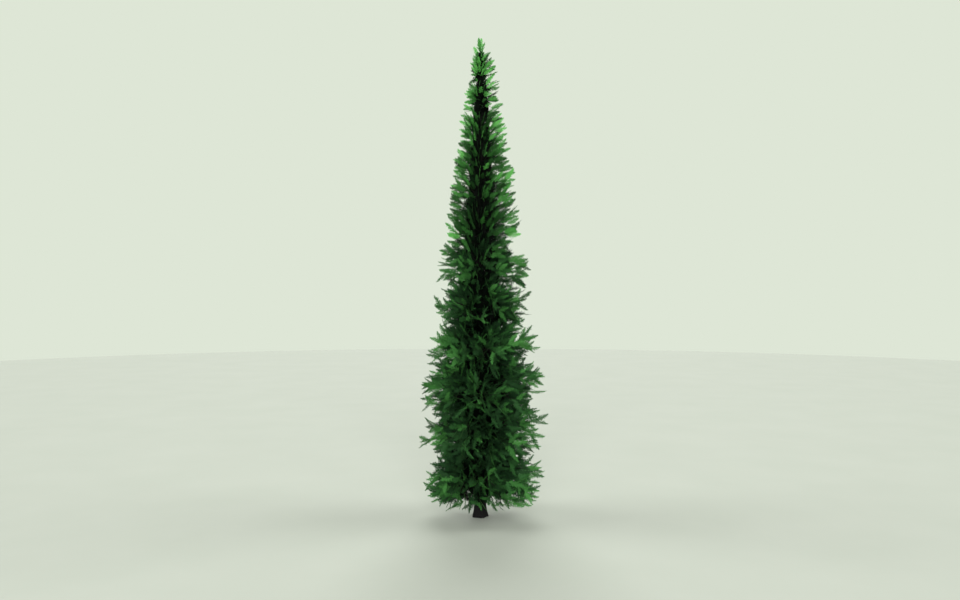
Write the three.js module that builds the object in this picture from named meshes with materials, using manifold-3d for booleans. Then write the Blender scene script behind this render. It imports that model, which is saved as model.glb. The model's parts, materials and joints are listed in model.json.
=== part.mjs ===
// Norway spruce of narrow spire form: a straight trunk, boughs in tiers and masses of needle sprays.
// Millimetres, +Z up, origin at the centre of the flat cut at ground level.
import * as THREE from "three";
import { mergeVertices } from "three/addons/utils/BufferGeometryUtils.js";
import Module from "manifold-3d";

const wasm = await Module();
wasm.setup();

// Crown: the furthest tips stand on a spire, widest near the ground
const TREE_HEIGHT = 12000;
const CROWN_REACH = 1730;
const WIDEST_HEIGHT = 2600;
const TIP_REACH = 175;
const SPIRE_POWER = 0.85;
const FOOT_REACH = 1540;
const FOOT_HEIGHT = 400;
const LOPSIDE = 80;
const EVEN_REACH = 350;

// Trunk: an even taper, with a root flare in five lobes at the ground
const TRUNK_TOP = 11550;
const TRUNK_RADIUS = 145;
const TRUNK_TIP_RADIUS = 9;
const FLARE_RADIUS = 55;
const FLARE_HEIGHT = 200;
const FLARE_LOBES = 5;
const LOBE_DEPTH = 22;
const TRUNK_SIDES = 15;
const TRUNK_RINGS = 9;
const RING_POWER = 2.4;

// Tiers of boughs: the lower ones spread and turn up at their ends, the upper ones climb
const TIER_COUNT = 12;
const LOWEST_AXIS = 640;
const LOWEST_TIER = 1060;
const HIGHEST_TIER = 755;
const LOWEST_ELEVATION = -19;
const ELEVATION_PER_METRE = 6.8;
const HIGHEST_ELEVATION = 26;
const CURL_AT_FOOT = 0.00009;
const CURL_ENDS = 5000;
const REACH_STEPS = 24;
const BOUGHED_TIERS = 2;
const LOW_TIERS = 6;
const WIDE_TIERS = 3;
const MIDDLE_TIERS = 9;
const BOUGHS_WIDE = 5;
const BOUGHS_MIDDLE = 4;
const BOUGHS_NARROW = 3;
const TIER_TURN = 0.382;
const WAVE_SHARE = 0.17;
const WAVE_LOBES = 3;
const WAVE_TURN = 0.9;

// Boughs of the lowest tiers, and the stems that carry on from them or the trunk in each mass
const BOUGH_SHARE = 0.2;
const STEM_SHARE = 0.72;
const LIMB_RADIUS_PER_REACH = 0.026;
const LIMB_TIP_SHARE = 0.75;
const BOUGH_SIDES = 6;
const STEM_SIDES = 3;

// Masses: a slim dark core round the stem, and twigs to an even grid of places over the crown's face
const CORE_FROM = 0.03;
const CORE_TO = 0.48;
const CORE_WIDTH = 0.8;
const CORE_HEIGHT = 0.85;
const CORE_SIDES = 5;
const ROWS = 2;
const COLUMNS = 4;
const COLUMNS_NARROW = 3;
const PLACE_JITTER = 0.2;
const FACE_DEPTH = 0.14;
const TWIG_FROM = 0.48;
const TWIG_TO = 0.7;
const TWIG_RADIUS = 4;
const TWIG_TIP_RADIUS = 3.5;
const SPRAY_LENGTH = 260;
const SPRAY_LENGTH_PER_REACH = 0.28;
const SPRAY_SHARE_OF_TWIG = 0.92;
const SHRINK_STEP = 0.93;
const SHRINK_TRIES = 9;

// Seeded variation: each spray has a seed of its own
const SEEDS_PER_TIER = 400;
const SEEDS_PER_MASS = 40;
const INDEX_STEP = 12.9898;
const CHANNEL_STEP = 78.233;
const WAVE_FOLDS = 43758.5453;

// One spray: a three-sided twig that widens into a blade with swept teeth on each side
const TEETH = 2;
const BLADE_SEGMENTS = 2 * TEETH + 1;
const BLADE_NOTCH = 0.5;
const BLADE_SWEEP = 0.09;
const BLADE_WIDTH = 0.6;
const BLADE_NARROWING = 0.35;
const BLADE_THICKNESS = 0.05;
const BLADE_ROLL = 40;
const OTHER_ROLLS = [0, 60, -60];

// Leader: the shoot that stands on the trunk's tip
const LEADER_STEM = 200;
const LEADER_TIP_RADIUS = 7;
const LEADER_SPRAYS = 4;
const LEADER_SPRAY_LENGTH = 300;
const LEADER_ELEVATION = 58;
const LEADER_ROOTS_FROM = 0.3;
const LEADER_ROOTS_TO = 0.7;

// Clearances, and the steepness beyond which a direction counts as upright
const GAP = 0.3;
const CELL_MARGIN = 14;
const TRUNK_MARGIN = 25;
const GROUND_MARGIN = 250;
const MERGE_DISTANCE = 0.001;
const UPRIGHT = 0.95;

const BARK = { color: 0x1d1918, roughness: 0.95, metalness: 0 };
const BOUGH_BARK = { color: 0x2a211b, roughness: 0.95, metalness: 0 };
const NEEDLES_LOW = { color: 0x2a5f38, roughness: 0.75, metalness: 0 };
const NEEDLES_HIGH = { color: 0x438a41, roughness: 0.75, metalness: 0 };

const UP = new THREE.Vector3(0, 0, 1);
const ALONG_X = new THREE.Vector3(1, 0, 0);
const ALONG_Y = new THREE.Vector3(0, 1, 0);
const GOLDEN_ANGLE = Math.PI * (3 - Math.sqrt(5));
const { lerp, clamp, degToRad } = THREE.MathUtils;

// A repeatable number from -1 to 1 for any pair of whole numbers.
function vary(index, channel) {
  const wave = Math.sin(index * INDEX_STEP + channel * CHANNEL_STEP) * WAVE_FOLDS;
  return 2 * (wave - Math.floor(wave)) - 1;
}

// Radius of the crown's furthest tips at a height.
function crownReach(z) {
  if (z < WIDEST_HEIGHT) {
    const share = clamp((z - FOOT_HEIGHT) / (WIDEST_HEIGHT - FOOT_HEIGHT), 0, 1);
    return lerp(FOOT_REACH, CROWN_REACH, share);
  }
  const share = clamp((TREE_HEIGHT - z) / (TREE_HEIGHT - WIDEST_HEIGHT), 0, 1);
  return TIP_REACH + (CROWN_REACH - TIP_REACH) * share ** SPIRE_POWER;
}

// A reach on one side of the trunk: longer where facing is 1, shorter where it is -1.
function lopsided(reach, facing) {
  return reach + LOPSIDE * facing * Math.min(1, reach / EVEN_REACH);
}

// Radius of the trunk at a height, with its flare but not its lobes.
function trunkRadius(z) {
  const taper = lerp(TRUNK_RADIUS, TRUNK_TIP_RADIUS, clamp(z / TRUNK_TOP, 0, 1));
  return taper + FLARE_RADIUS * Math.exp(-z / FLARE_HEIGHT);
}

// How far a bough that leaves the trunk's axis at a height has risen by a radius.
function rise(axisHeight, radius) {
  const elevation = Math.min(LOWEST_ELEVATION + (ELEVATION_PER_METRE * axisHeight) / 1000, HIGHEST_ELEVATION);
  const curl = CURL_AT_FOOT * clamp(1 - axisHeight / CURL_ENDS, 0, 1);
  return Math.tan(degToRad(elevation)) * radius + curl * radius * radius;
}

// A point on the surface that such boughs make all round the trunk.
function onBough(axisHeight, azimuth, radius) {
  const z = axisHeight + rise(axisHeight, radius);
  return new THREE.Vector3(radius * Math.cos(azimuth), radius * Math.sin(azimuth), z);
}

// Radius at which such a bough meets the crown's face.
function boughReach(axisHeight) {
  let reach = 0;
  for (let step = 0; step < REACH_STEPS; step++) reach = crownReach(axisHeight + rise(axisHeight, reach));
  return reach;
}

// A closed geometry as a solid that can be joined and cut.
function solidOf(geometry) {
  const bare = geometry.clone();
  bare.deleteAttribute("normal");
  bare.deleteAttribute("uv");
  const merged = mergeVertices(bare, MERGE_DISTANCE);
  const vertProperties = new Float32Array(merged.getAttribute("position").array);
  const triVerts = new Uint32Array(merged.index.array);
  return new wasm.Manifold(new wasm.Mesh({ numProp: 3, vertProperties, triVerts }));
}

// The largest body of a solid as a geometry: scraps and sealed hollows are dropped.
function geometryOf(solid) {
  const bodies = solid.decompose();
  const largest = bodies.reduce((best, body) => (body.volume() > best.volume() ? body : best));
  const mesh = largest.getMesh();
  const geometry = new THREE.BufferGeometry();
  geometry.setAttribute("position", new THREE.BufferAttribute(new Float32Array(mesh.vertProperties), 3));
  geometry.setIndex(new THREE.BufferAttribute(new Uint32Array(mesh.triVerts), 1));
  geometry.computeVertexNormals();
  return geometry;
}

// Moves each vertex of a geometry by a function of its place.
function reshape(geometry, move) {
  const position = geometry.getAttribute("position");
  const place = new THREE.Vector3();
  for (let i = 0; i < position.count; i++) {
    place.fromBufferAttribute(position, i);
    const moved = move(place);
    position.setXYZ(i, moved.x, moved.y, moved.z);
  }
  return geometry;
}

// The trunk's solid, grown outwards by a clearance where it is used to cut other pieces.
function trunkSolid(clearance) {
  const profile = [new THREE.Vector2(0, 0)];
  for (let ring = 0; ring <= TRUNK_RINGS; ring++) {
    const z = TRUNK_TOP * (ring / TRUNK_RINGS) ** RING_POWER;
    profile.push(new THREE.Vector2(trunkRadius(z) + clearance, z));
  }
  profile.push(new THREE.Vector2(0, TRUNK_TOP));
  const turned = new THREE.LatheGeometry(profile, TRUNK_SIDES).rotateX(Math.PI / 2);
  const lobed = reshape(turned, (p) => {
    const radius = Math.hypot(p.x, p.y);
    if (radius < MERGE_DISTANCE) return p;
    const fade = Math.exp(-p.z / FLARE_HEIGHT);
    const lobe = LOBE_DEPTH * fade * Math.cos(FLARE_LOBES * Math.atan2(p.y, p.x));
    return p.multiply(new THREE.Vector3(1 + lobe / radius, 1 + lobe / radius, 1));
  });
  return solidOf(lobed);
}

// Two directions square to a given one: level across it, and over it.
function squareTo(direction) {
  const reference = Math.abs(direction.z) > UPRIGHT ? ALONG_X : UP;
  const side = new THREE.Vector3().crossVectors(direction, reference).normalize();
  const over = new THREE.Vector3().crossVectors(side, direction);
  return { side, over };
}

// A straight tapering limb between two points.
function limb(from, to, startRadius, endRadius, sides) {
  const way = to.clone().sub(from);
  const taper = new THREE.CylinderGeometry(endRadius, startRadius, way.length(), sides);
  const turn = new THREE.Quaternion().setFromUnitVectors(ALONG_Y, way.normalize());
  const middle = from.clone().lerp(to, 0.5);
  return solidOf(taper.applyQuaternion(turn).translate(middle.x, middle.y, middle.z));
}

// Half the width of a spray at one of its rings: the bare twig, then teeth with notches between them.
function sprayHalfWidth(ring, share, bladeLength) {
  if (ring === 0) return TWIG_RADIUS;
  if (ring === 1) return TWIG_TIP_RADIUS;
  const toothWidth = (BLADE_WIDTH / 2) * bladeLength * (1 - BLADE_NARROWING * share);
  return ring % 2 === 0 ? toothWidth : toothWidth * BLADE_NOTCH;
}

// A three-sided twig from a root to a tip, whose last stretch is a toothed blade.
// The blade stands on edge but for its roll.
function toothedSpray(root, tip, bladeLength, roll) {
  const direction = new THREE.Vector3().subVectors(tip, root);
  const bareLength = direction.length() - bladeLength;
  direction.normalize();
  const face = squareTo(direction).side.applyAxisAngle(direction, roll);
  const across = new THREE.Vector3().crossVectors(direction, face);
  const edgeOfTriangle = Math.sin((2 * Math.PI) / 3);
  const cone = new THREE.ConeGeometry(1, 1, 3, BLADE_SEGMENTS);
  return reshape(cone, (p) => {
    const ring = Math.round((p.y + 0.5) * BLADE_SEGMENTS);
    const share = Math.max(ring - 1, 0) / (BLADE_SEGMENTS - 1);
    const isBlade = ring > 1;
    const halfWidth = sprayHalfWidth(ring, share, bladeLength);
    const halfDepth = isBlade ? (BLADE_THICKNESS / 2) * bladeLength : halfWidth;
    const radius = Math.hypot(p.x, p.z) || 1;
    const x = p.x / radius / edgeOfTriangle;
    const z = p.z / radius;
    const sweep = isBlade ? BLADE_SWEEP * bladeLength * Math.abs(x) : 0;
    const along = Math.min(ring, 1) * bareLength + share * bladeLength + sweep;
    return root
      .clone()
      .addScaledVector(direction, along)
      .addScaledVector(across, x * halfWidth)
      .addScaledVector(face, z * halfDepth);
  });
}

// True where every vertex of a geometry lies in a mass's own space.
function keepsTo(cell, geometry) {
  const position = geometry.getAttribute("position");
  const place = new THREE.Vector3();
  for (let i = 0; i < position.count; i++) {
    if (!cell.holds(place.fromBufferAttribute(position, i))) return false;
  }
  return true;
}

// A spray as a list of one solid, or of none where it would leave the mass's own space.
function spray(cell, root, tip, length, roll) {
  const bladeLength = Math.min(length, SPRAY_SHARE_OF_TWIG * root.distanceTo(tip));
  const grown = toothedSpray(root, tip, bladeLength, roll);
  return keepsTo(cell, grown) ? [solidOf(grown)] : [];
}

// The angle between two azimuths, whichever way round is shorter.
function turnBetween(azimuth, other) {
  const turn = azimuth - other;
  return Math.abs(Math.atan2(Math.sin(turn), Math.cos(turn)));
}

// The axis height of the level under a tier: the tiers shorten evenly upwards.
function tierFloor(tier) {
  const shortening = (LOWEST_TIER - HIGHEST_TIER) / (TIER_COUNT - 1);
  return LOWEST_AXIS + tier * LOWEST_TIER - (shortening * tier * (tier - 1)) / 2;
}

// The axis height of the boundary under a tier at an azimuth: a wave, but level at the crown's two ends.
function boundaryAxis(tier, azimuth) {
  const level = tierFloor(tier);
  if (tier === 0 || tier === TIER_COUNT) return level;
  const waveHeight = WAVE_SHARE * (tierFloor(tier + 1) - level);
  return level + waveHeight * Math.sin(WAVE_LOBES * azimuth + tier * WAVE_TURN);
}

// The space of one mass: a wedge round the trunk between the bough surfaces of its tier's two boundaries.
function wedgeCell(tier, index) {
  const halfAngle = Math.PI / boughsInTier(tier);
  const middle = 2 * halfAngle * (index + tier * TIER_TURN);
  const axisAt = (azimuth, up) => {
    const share = (up + 1) / 2;
    return lerp(boundaryAxis(tier, azimuth), boundaryAxis(tier + 1, azimuth), share);
  };
  const holds = (p) => {
    const radius = Math.hypot(p.x, p.y);
    const azimuth = Math.atan2(p.y, p.x);
    const turn = turnBetween(azimuth, middle);
    const floorAxis = axisAt(azimuth, -1);
    const roofAxis = axisAt(azimuth, 1);
    const floor = Math.max(floorAxis + rise(floorAxis, radius) + CELL_MARGIN, GROUND_MARGIN);
    const roof = roofAxis + rise(roofAxis, radius) - CELL_MARGIN;
    const insideWedge = turn < halfAngle && radius * Math.sin(halfAngle - turn) > CELL_MARGIN;
    return insideWedge && radius > trunkRadius(p.z) + TRUNK_MARGIN && p.z > floor && p.z < roof;
  };
  const axis = axisAt(middle, 0);
  const height = axisAt(middle, 1) - axisAt(middle, -1);
  const reach = boughReach(axis);
  return { tier, index, azimuth: middle, halfAngle, axis, height, reach, axisAt, holds };
}

function boughsInTier(tier) {
  if (tier < WIDE_TIERS) return BOUGHS_WIDE;
  if (tier < MIDDLE_TIERS) return BOUGHS_MIDDLE;
  return BOUGHS_NARROW;
}

// The cells of every tier, from the lowest up.
function tierCells() {
  const cells = [];
  for (let tier = 0; tier < TIER_COUNT; tier++) {
    for (let index = 0; index < boughsInTier(tier); index++) cells.push(wedgeCell(tier, index));
  }
  return cells;
}

// A point at a radius on the straight line that a cell's bough and then its stem follow.
function onLimb(cell, radius) {
  const stemEnd = STEM_SHARE * cell.reach;
  const base = onBough(cell.axis, cell.azimuth, 0);
  return base.lerp(onBough(cell.axis, cell.azimuth, stemEnd), radius / stemEnd);
}

// The stretch of a cell's limb between two radii, which thins evenly outwards.
function limbStretch(cell, fromRadius, toRadius, sides) {
  const base = LIMB_RADIUS_PER_REACH * cell.reach;
  const thickness = (radius) => lerp(base, LIMB_TIP_SHARE * base, radius / (STEM_SHARE * cell.reach));
  const from = onLimb(cell, fromRadius);
  const to = onLimb(cell, toRadius);
  return limb(from, to, thickness(fromRadius), thickness(toRadius), sides);
}

// The shares to draw a piece in by, from none to the most, when it has to keep to its space.
function shrinkSteps() {
  return Array.from({ length: SHRINK_TRIES }, (_, step) => SHRINK_STEP ** step);
}

// The dark inner core of a mass: a spindle round the inner stem.
function spindle(cell, fromRadius, toRadius, shrink) {
  const inner = onLimb(cell, fromRadius);
  const outer = onLimb(cell, toRadius);
  const middle = inner.clone().lerp(outer, 0.5);
  const halfLength = inner.distanceTo(outer) / 2;
  const tangent = outer.sub(inner).normalize();
  const { side, over } = squareTo(tangent);
  const halfWidth = shrink * CORE_WIDTH * Math.hypot(middle.x, middle.y) * Math.sin(cell.halfAngle);
  const halfHeight = (shrink * CORE_HEIGHT * cell.height) / 2;
  return reshape(new THREE.SphereGeometry(1, CORE_SIDES, 2), (p) =>
    middle
      .clone()
      .addScaledVector(tangent, p.y * halfLength)
      .addScaledVector(side, p.x * halfWidth)
      .addScaledVector(over, p.z * halfHeight),
  );
}

// The widest core that keeps to its mass's space, as a list of one solid.
function core(cell, stemFrom) {
  const fromRadius = Math.max(stemFrom, trunkRadius(cell.axis) + TRUNK_MARGIN) + CORE_FROM * cell.reach;
  const sizes = shrinkSteps().map((shrink) => spindle(cell, fromRadius, CORE_TO * cell.reach, shrink));
  return sizes.filter((size) => keepsTo(cell, size)).slice(0, 1).map(solidOf);
}

// The middle of one step of an even row from -1 to 1, moved a little by a varying number.
function placeInRow(step, steps, variation) {
  return (2 * (step + 0.5 + PLACE_JITTER * variation)) / steps - 1;
}

// The places of a mass's sprays over its face, in staggered rows, those furthest from its middle first.
function sprayPlaces(cell) {
  const firstSeed = cell.tier * SEEDS_PER_TIER + cell.index * SEEDS_PER_MASS;
  const places = [];
  for (let row = 0; row < ROWS; row++) {
    const columns = (cell.tier < MIDDLE_TIERS ? COLUMNS : COLUMNS_NARROW) - row;
    for (let column = 0; column < columns; column++) {
      const seed = firstSeed + places.length;
      const across = placeInRow(column, columns, vary(seed, 1));
      const up = placeInRow(row, ROWS, vary(seed, 2));
      places.push({ across, up, depth: FACE_DEPTH * Math.abs(vary(seed, 3)), roll: vary(seed, 4) });
    }
  }
  return places.sort((a, b) => Math.hypot(b.across, b.up) - Math.hypot(a.across, a.up));
}

// The spray for one place of a mass, rolled or drawn in to the mass's middle until it keeps to its space.
function growSpray(cell, place, root) {
  const length = SPRAY_LENGTH + SPRAY_LENGTH_PER_REACH * cell.reach;
  for (const shrink of shrinkSteps()) {
    const azimuth = cell.azimuth + place.across * shrink * cell.halfAngle;
    const axis = cell.axisAt(azimuth, place.up * shrink);
    const reach = lopsided(boughReach(axis), Math.cos(azimuth));
    const tip = onBough(axis, azimuth, reach * (1 - place.depth));
    for (const otherRoll of OTHER_ROLLS) {
      const roll = degToRad(BLADE_ROLL * place.roll + otherRoll);
      const grown = spray(cell, root, tip, length, roll);
      if (grown.length) return grown;
    }
  }
  return [];
}

// One mass of needles: its stem, its core, and twigs along the outer stem to the places on its face.
function growMass(cell, stemFrom) {
  const stem = limbStretch(cell, stemFrom, STEM_SHARE * cell.reach, STEM_SIDES);
  const joined = [stem, ...core(cell, stemFrom)];
  const places = sprayPlaces(cell);
  places.forEach((place, order) => {
    const share = lerp(TWIG_FROM, TWIG_TO, order / (places.length - 1));
    joined.push(...growSpray(cell, place, onLimb(cell, share * cell.reach)));
  });
  return wasm.Manifold.union(joined);
}

// A direction from its azimuth and its elevation.
function heading(azimuth, elevation) {
  const level = Math.cos(elevation);
  return new THREE.Vector3(level * Math.cos(azimuth), level * Math.sin(azimuth), Math.sin(elevation));
}

// The leader on the trunk's tip: one upright spray with the others climbing round it.
function growLeader() {
  const foot = TRUNK_TOP + GAP;
  const onStem = (share) => new THREE.Vector3(0, 0, foot + share * LEADER_STEM);
  const joined = [limb(onStem(0), onStem(1), TRUNK_TIP_RADIUS, LEADER_TIP_RADIUS, STEM_SIDES)];
  const open = { holds: (p) => p.z > foot + CELL_MARGIN };
  const top = new THREE.Vector3(0, 0, TREE_HEIGHT);
  joined.push(...spray(open, onStem(LEADER_ROOTS_TO), top, TREE_HEIGHT, 0));
  for (let place = 0; place < LEADER_SPRAYS; place++) {
    const azimuth = place * GOLDEN_ANGLE;
    const root = onStem(lerp(LEADER_ROOTS_FROM, LEADER_ROOTS_TO, place / LEADER_SPRAYS));
    const way = heading(azimuth, degToRad(LEADER_ELEVATION));
    const tip = root.clone().addScaledVector(way, LEADER_SPRAY_LENGTH);
    joined.push(...spray(open, root, tip, LEADER_SPRAY_LENGTH, azimuth));
  }
  return wasm.Manifold.union(joined);
}

function meshOf(name, solid, finish) {
  const mesh = new THREE.Mesh(geometryOf(solid), new THREE.MeshStandardMaterial(finish));
  mesh.name = name;
  return mesh;
}

// The meshes of one cell: a bough in the lowest tiers, and a mass that goes on from it or from the trunk.
function cellMeshes(cell, trunkCut) {
  const label = `${cell.tier + 1}_${cell.index + 1}`;
  const needles = cell.tier < LOW_TIERS ? NEEDLES_LOW : NEEDLES_HIGH;
  if (cell.tier >= BOUGHED_TIERS) {
    return [meshOf(`foliage_${label}`, growMass(cell, 0).subtract(trunkCut), needles)];
  }
  const boughEnd = BOUGH_SHARE * cell.reach;
  const bough = limbStretch(cell, 0, boughEnd, BOUGH_SIDES).subtract(trunkCut);
  const mass = growMass(cell, boughEnd + GAP);
  return [meshOf(`bough_${label}`, bough, BOUGH_BARK), meshOf(`foliage_${label}`, mass, needles)];
}

function buildTree() {
  const tree = new THREE.Group();
  tree.name = "norway_spruce";
  tree.add(meshOf("trunk", trunkSolid(0), BARK));
  const trunkCut = trunkSolid(GAP / Math.cos(Math.PI / TRUNK_SIDES));
  for (const cell of tierCells()) tree.add(...cellMeshes(cell, trunkCut));
  tree.add(meshOf("foliage_leader", growLeader(), NEEDLES_HIGH));
  return tree;
}

export default buildTree();
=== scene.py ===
import json
import math
from collections import namedtuple
from enum import IntEnum

import bpy
from mathutils import Color, Matrix, Vector

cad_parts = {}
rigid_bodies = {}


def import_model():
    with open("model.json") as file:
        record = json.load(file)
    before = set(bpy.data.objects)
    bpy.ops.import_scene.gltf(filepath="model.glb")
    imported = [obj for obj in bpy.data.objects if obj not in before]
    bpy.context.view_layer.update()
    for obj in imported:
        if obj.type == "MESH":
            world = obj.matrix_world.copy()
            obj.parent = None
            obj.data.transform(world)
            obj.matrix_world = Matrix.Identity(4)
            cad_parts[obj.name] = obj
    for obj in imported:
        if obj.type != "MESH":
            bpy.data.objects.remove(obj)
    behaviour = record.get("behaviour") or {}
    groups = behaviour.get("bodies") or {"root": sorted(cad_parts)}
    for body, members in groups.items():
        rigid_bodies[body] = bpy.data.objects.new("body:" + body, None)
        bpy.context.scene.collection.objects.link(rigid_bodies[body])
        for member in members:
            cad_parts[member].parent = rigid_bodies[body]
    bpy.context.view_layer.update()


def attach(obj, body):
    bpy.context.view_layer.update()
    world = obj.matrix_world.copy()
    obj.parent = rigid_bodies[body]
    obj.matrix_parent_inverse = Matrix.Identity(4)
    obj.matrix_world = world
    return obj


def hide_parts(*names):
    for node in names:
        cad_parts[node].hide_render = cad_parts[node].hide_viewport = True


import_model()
scene = bpy.context.scene

# Sizes are in metres and angles in degrees. The groups down to the leader repeat the part's source.

# Crown: the furthest tips stand on a spire, widest near the ground
TREE_HEIGHT = 12.0
CROWN_REACH = 1.73
WIDEST_HEIGHT = 2.6
TIP_REACH = 0.175
SPIRE_POWER = 0.85
FOOT_REACH = 1.54
FOOT_HEIGHT = 0.4
LOPSIDE = 0.08
EVEN_REACH = 0.35

# Trunk: an even taper, with a root flare in five lobes at the ground
TRUNK_TOP = 11.55
TRUNK_RADIUS = 0.145
TRUNK_TIP_RADIUS = 0.009
FLARE_RADIUS = 0.055
FLARE_HEIGHT = 0.2
FLARE_LOBES = 5
LOBE_DEPTH = 0.022

# Tiers of boughs: the lower ones spread and turn up at their ends, the upper ones climb
TIER_COUNT = 12
LOWEST_AXIS = 0.64
LOWEST_TIER = 1.06
HIGHEST_TIER = 0.755
LOWEST_ELEVATION = -19
ELEVATION_PER_METRE = 6.8
HIGHEST_ELEVATION = 26
CURL_AT_FOOT = 0.09
CURL_ENDS = 5.0
REACH_STEPS = 24
BOUGHED_TIERS = 2
LOW_TIERS = 6
WIDE_TIERS = 3
MIDDLE_TIERS = 9
BOUGHS_WIDE = 5
BOUGHS_MIDDLE = 4
BOUGHS_NARROW = 3
TIER_TURN = 0.382
WAVE_SHARE = 0.17
WAVE_LOBES = 3
WAVE_TURN = 0.9
STEM_SHARE = 0.72
LIMB_RADIUS_PER_REACH = 0.026

# Seeded variation
INDEX_STEP = 12.9898
CHANNEL_STEP = 78.233
WAVE_FOLDS = 43758.5453
GOLDEN_ANGLE = math.pi * (3 - math.sqrt(5))

# Leader: the shoot that stands on the trunk's tip
LEADER_STEM = 0.2
LEADER_TIP_RADIUS = 0.007
LEADER_ELEVATION = 58

# From here on the growth is finer than the source's. A pair holds a value for the broad lower crown
# and one for the slim upper crown or, where its name is a plural, a first value and a last one.
SLIM_HEIGHTS = (5.2, 7.6)
ON_EDGE_HEIGHTS = (3.0, 7.2)
SEEDS_PER_MASS = 1000

# Limbs: the bough and the stem of each mass, with a slight bend
LIMB_STEPS = 7
LIMB_INSET = 0.8
LIMB_WANDER = 0.012
WANDER_STEPS = 3
LIMB_THINNING = 0.12
LEADER_INSET = 0.05

# Fronds: twigs from each limb to an even grid of places on the crown's face
ROW_HEIGHT = (0.22, 0.18)
FROND_SPACING = (0.26, 0.21)
ROW_STAGGER = 0.25
PLACE_JITTER = 0.4
PROUD_SHARE = (0.2, 0.4)
PROUD_DEPTH = 0.04
LEAST_DEPTH = (0.2, 0.08)
FACE_DEPTH = (0.4, 0.22)
LAYER_DEPTH = 0.21
SKIRT_UP = -0.45
SKIRT_DEPTH = 0.35
FROND_FROM = (0.14, 0.08)
FROND_TO = (0.4, 0.16)
FROND_YAW = (26, 7)
FROND_PITCH = (16, 36)
FROND_BEND = 0.62
FROND_STEPS = 5
FROND_RADII = (0.007, 0.002)
TANGENT_STEP = 0.01

# Sprays on a frond: one at its end, and two broad ones beside it
END_LENGTH_AT_TIP = 0.22
END_LENGTH_PER_REACH = (0.135, 0.14)
END_SHARE_OF_FROND = 0.9
SPRAY_ROLL = (55, 3)
FLAT_SHARE = 0.28
FLAT_ROLL = 80
SIDE_SPRAYS = 2
SEEDS_PER_FROND = 7
SIDE_FROM = 0.55
SIDE_STEP = 0.9
SIDE_NEAREST = 0.1
SIDE_ANGLE = 42
SIDE_ANGLE_SPREAD = 14
SIDE_ROLL = (50, 10)
SIDE_SIZE = 0.9
SIDE_SIZE_SPREAD = 0.16
LOWEST_NEEDLE = 0.22
LOWEST_NEEDLE_RISE = 0.15
TIP_ROOM = 0.985
SHRINK_STEP = 0.93
SHRINK_TRIES = 7

# How light a tint a spray is dealt: lighter at the ends, and darker deeper in the crown, under the next
# layer and at the trunk's foot, which is painted shade
TINTS_MEET = 7.2
TINT_STEP = 0.3
TINT_DROP = 0.9
TINT_FADE = 4.0
TINT_SPREAD = 0.9
FACE_LIFT = 0.35
LAYER_SHADE = 0.5
END_LIFT = 0.2
SIDE_LIFT = -0.1
# Painted shade under the lowest boughs: the growth round the trunk's foot is dealt darker tints
FOOT_LIFT = -0.3

# One spray: a shoot with side shoots in one plane, as long as SPRAY_LENGTH before it is scaled
SPRAY_LENGTH = 0.4
SPRAY_KINDS = 5
SEEDS_PER_KIND = 50
SHOOT_STEPS = 4
SHOOT_BEND = 0.05
SHOOT_SAG = 0.07
SHOOT_RADII = (0.0028, 0.0012)
TWIGLET_PAIRS = 6
TWIGLET_SHARE = (0.24, 0.29)
TWIGLET_PLACES = (0.08, 0.92)
TWIGLET_JITTER = 0.3
TWIGLET_LEAST = 0.14
TWIGLET_WIDEST = 0.34
TWIGLET_TAPER = 0.64
TWIGLET_SPREAD = 0.2
TWIGLET_ANGLE = 43
TWIGLET_ANGLE_SPREAD = 8
TWIGLET_LIFT = 0.2
TWIGLET_RADIUS = 0.0014

# Needles: how long, how wide and how far apart they are before their spray is scaled
OUTER_NEEDLE = (0.04, 0.0142, 0.0074)
INNER_NEEDLE = (0.07, 0.02, 0.019)
SHADE_NEEDLE = (0.09, 0.048, 0.028)
NEEDLE_LEAN = 44
NEEDLE_TILT = (18, 6)
SMALLEST_NEEDLE = 0.75
LARGEST_NEEDLE = 1.1

# Inner sprays: growth between the crown's dark middle and its face, in darker tints that are painted
# shade
INNER_SEEDS = 700
INNER_KINDS = 2
INNER_FROM = 0.42
INNER_TO = (0.78, 0.62)
INNER_PER_AREA = 24
INNER_ROLL = (180, 6)
INNER_AIM_ACROSS = 0.6
INNER_AIM_UP = 0.7
INNER_SIZE = 0.6
INNER_SIZE_PER_REACH = 0.3
INNER_LARGEST = 1.0

# Shade sprays: growth near the trunk in a near-black tint that is painted shade, with fewer and broader
# needles
SHADE_SEEDS = 500
SHADE_FROM = 0.07
SHADE_TO = (0.4, 0.35)
SHADE_PER_AREA = (80, 150)
FEWEST_IN_SHADE = 44
SHADE_CLIMB = (35, 80)
SHADE_STEEPEST_AT = 8.57
SHADE_CLIMB_SPREAD = 10
SHADE_ROLL = 40
SHADE_SIZE = 0.35
SHADE_SIZE_PER_REACH = 0.35
SHADE_LARGEST = 0.85

# Growth that hangs round the trunk's foot
FOOT_SEEDS = 900
FOOT_SPRAYS = 9
FOOT_RADII = (0.16, 0.75)
FOOT_DROP = 0.28
FOOT_DROP_SPREAD = 0.08
FOOT_DROOPS = (50, 24)
FOOT_SIZE = 0.9

# The leader's sprays: they climb round its stem, the last one to the very top
LEADER_SPRAYS = 7
LEADER_SPRAY_LENGTH = 0.28
LEADER_TOP_ELEVATION = 86
LEADER_TURN = 0.6
LEADER_ROOTS = (-0.6, 0.8)
LEADER_TINTS = ("needles_high_light", "needles_high_lightest")

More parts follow.
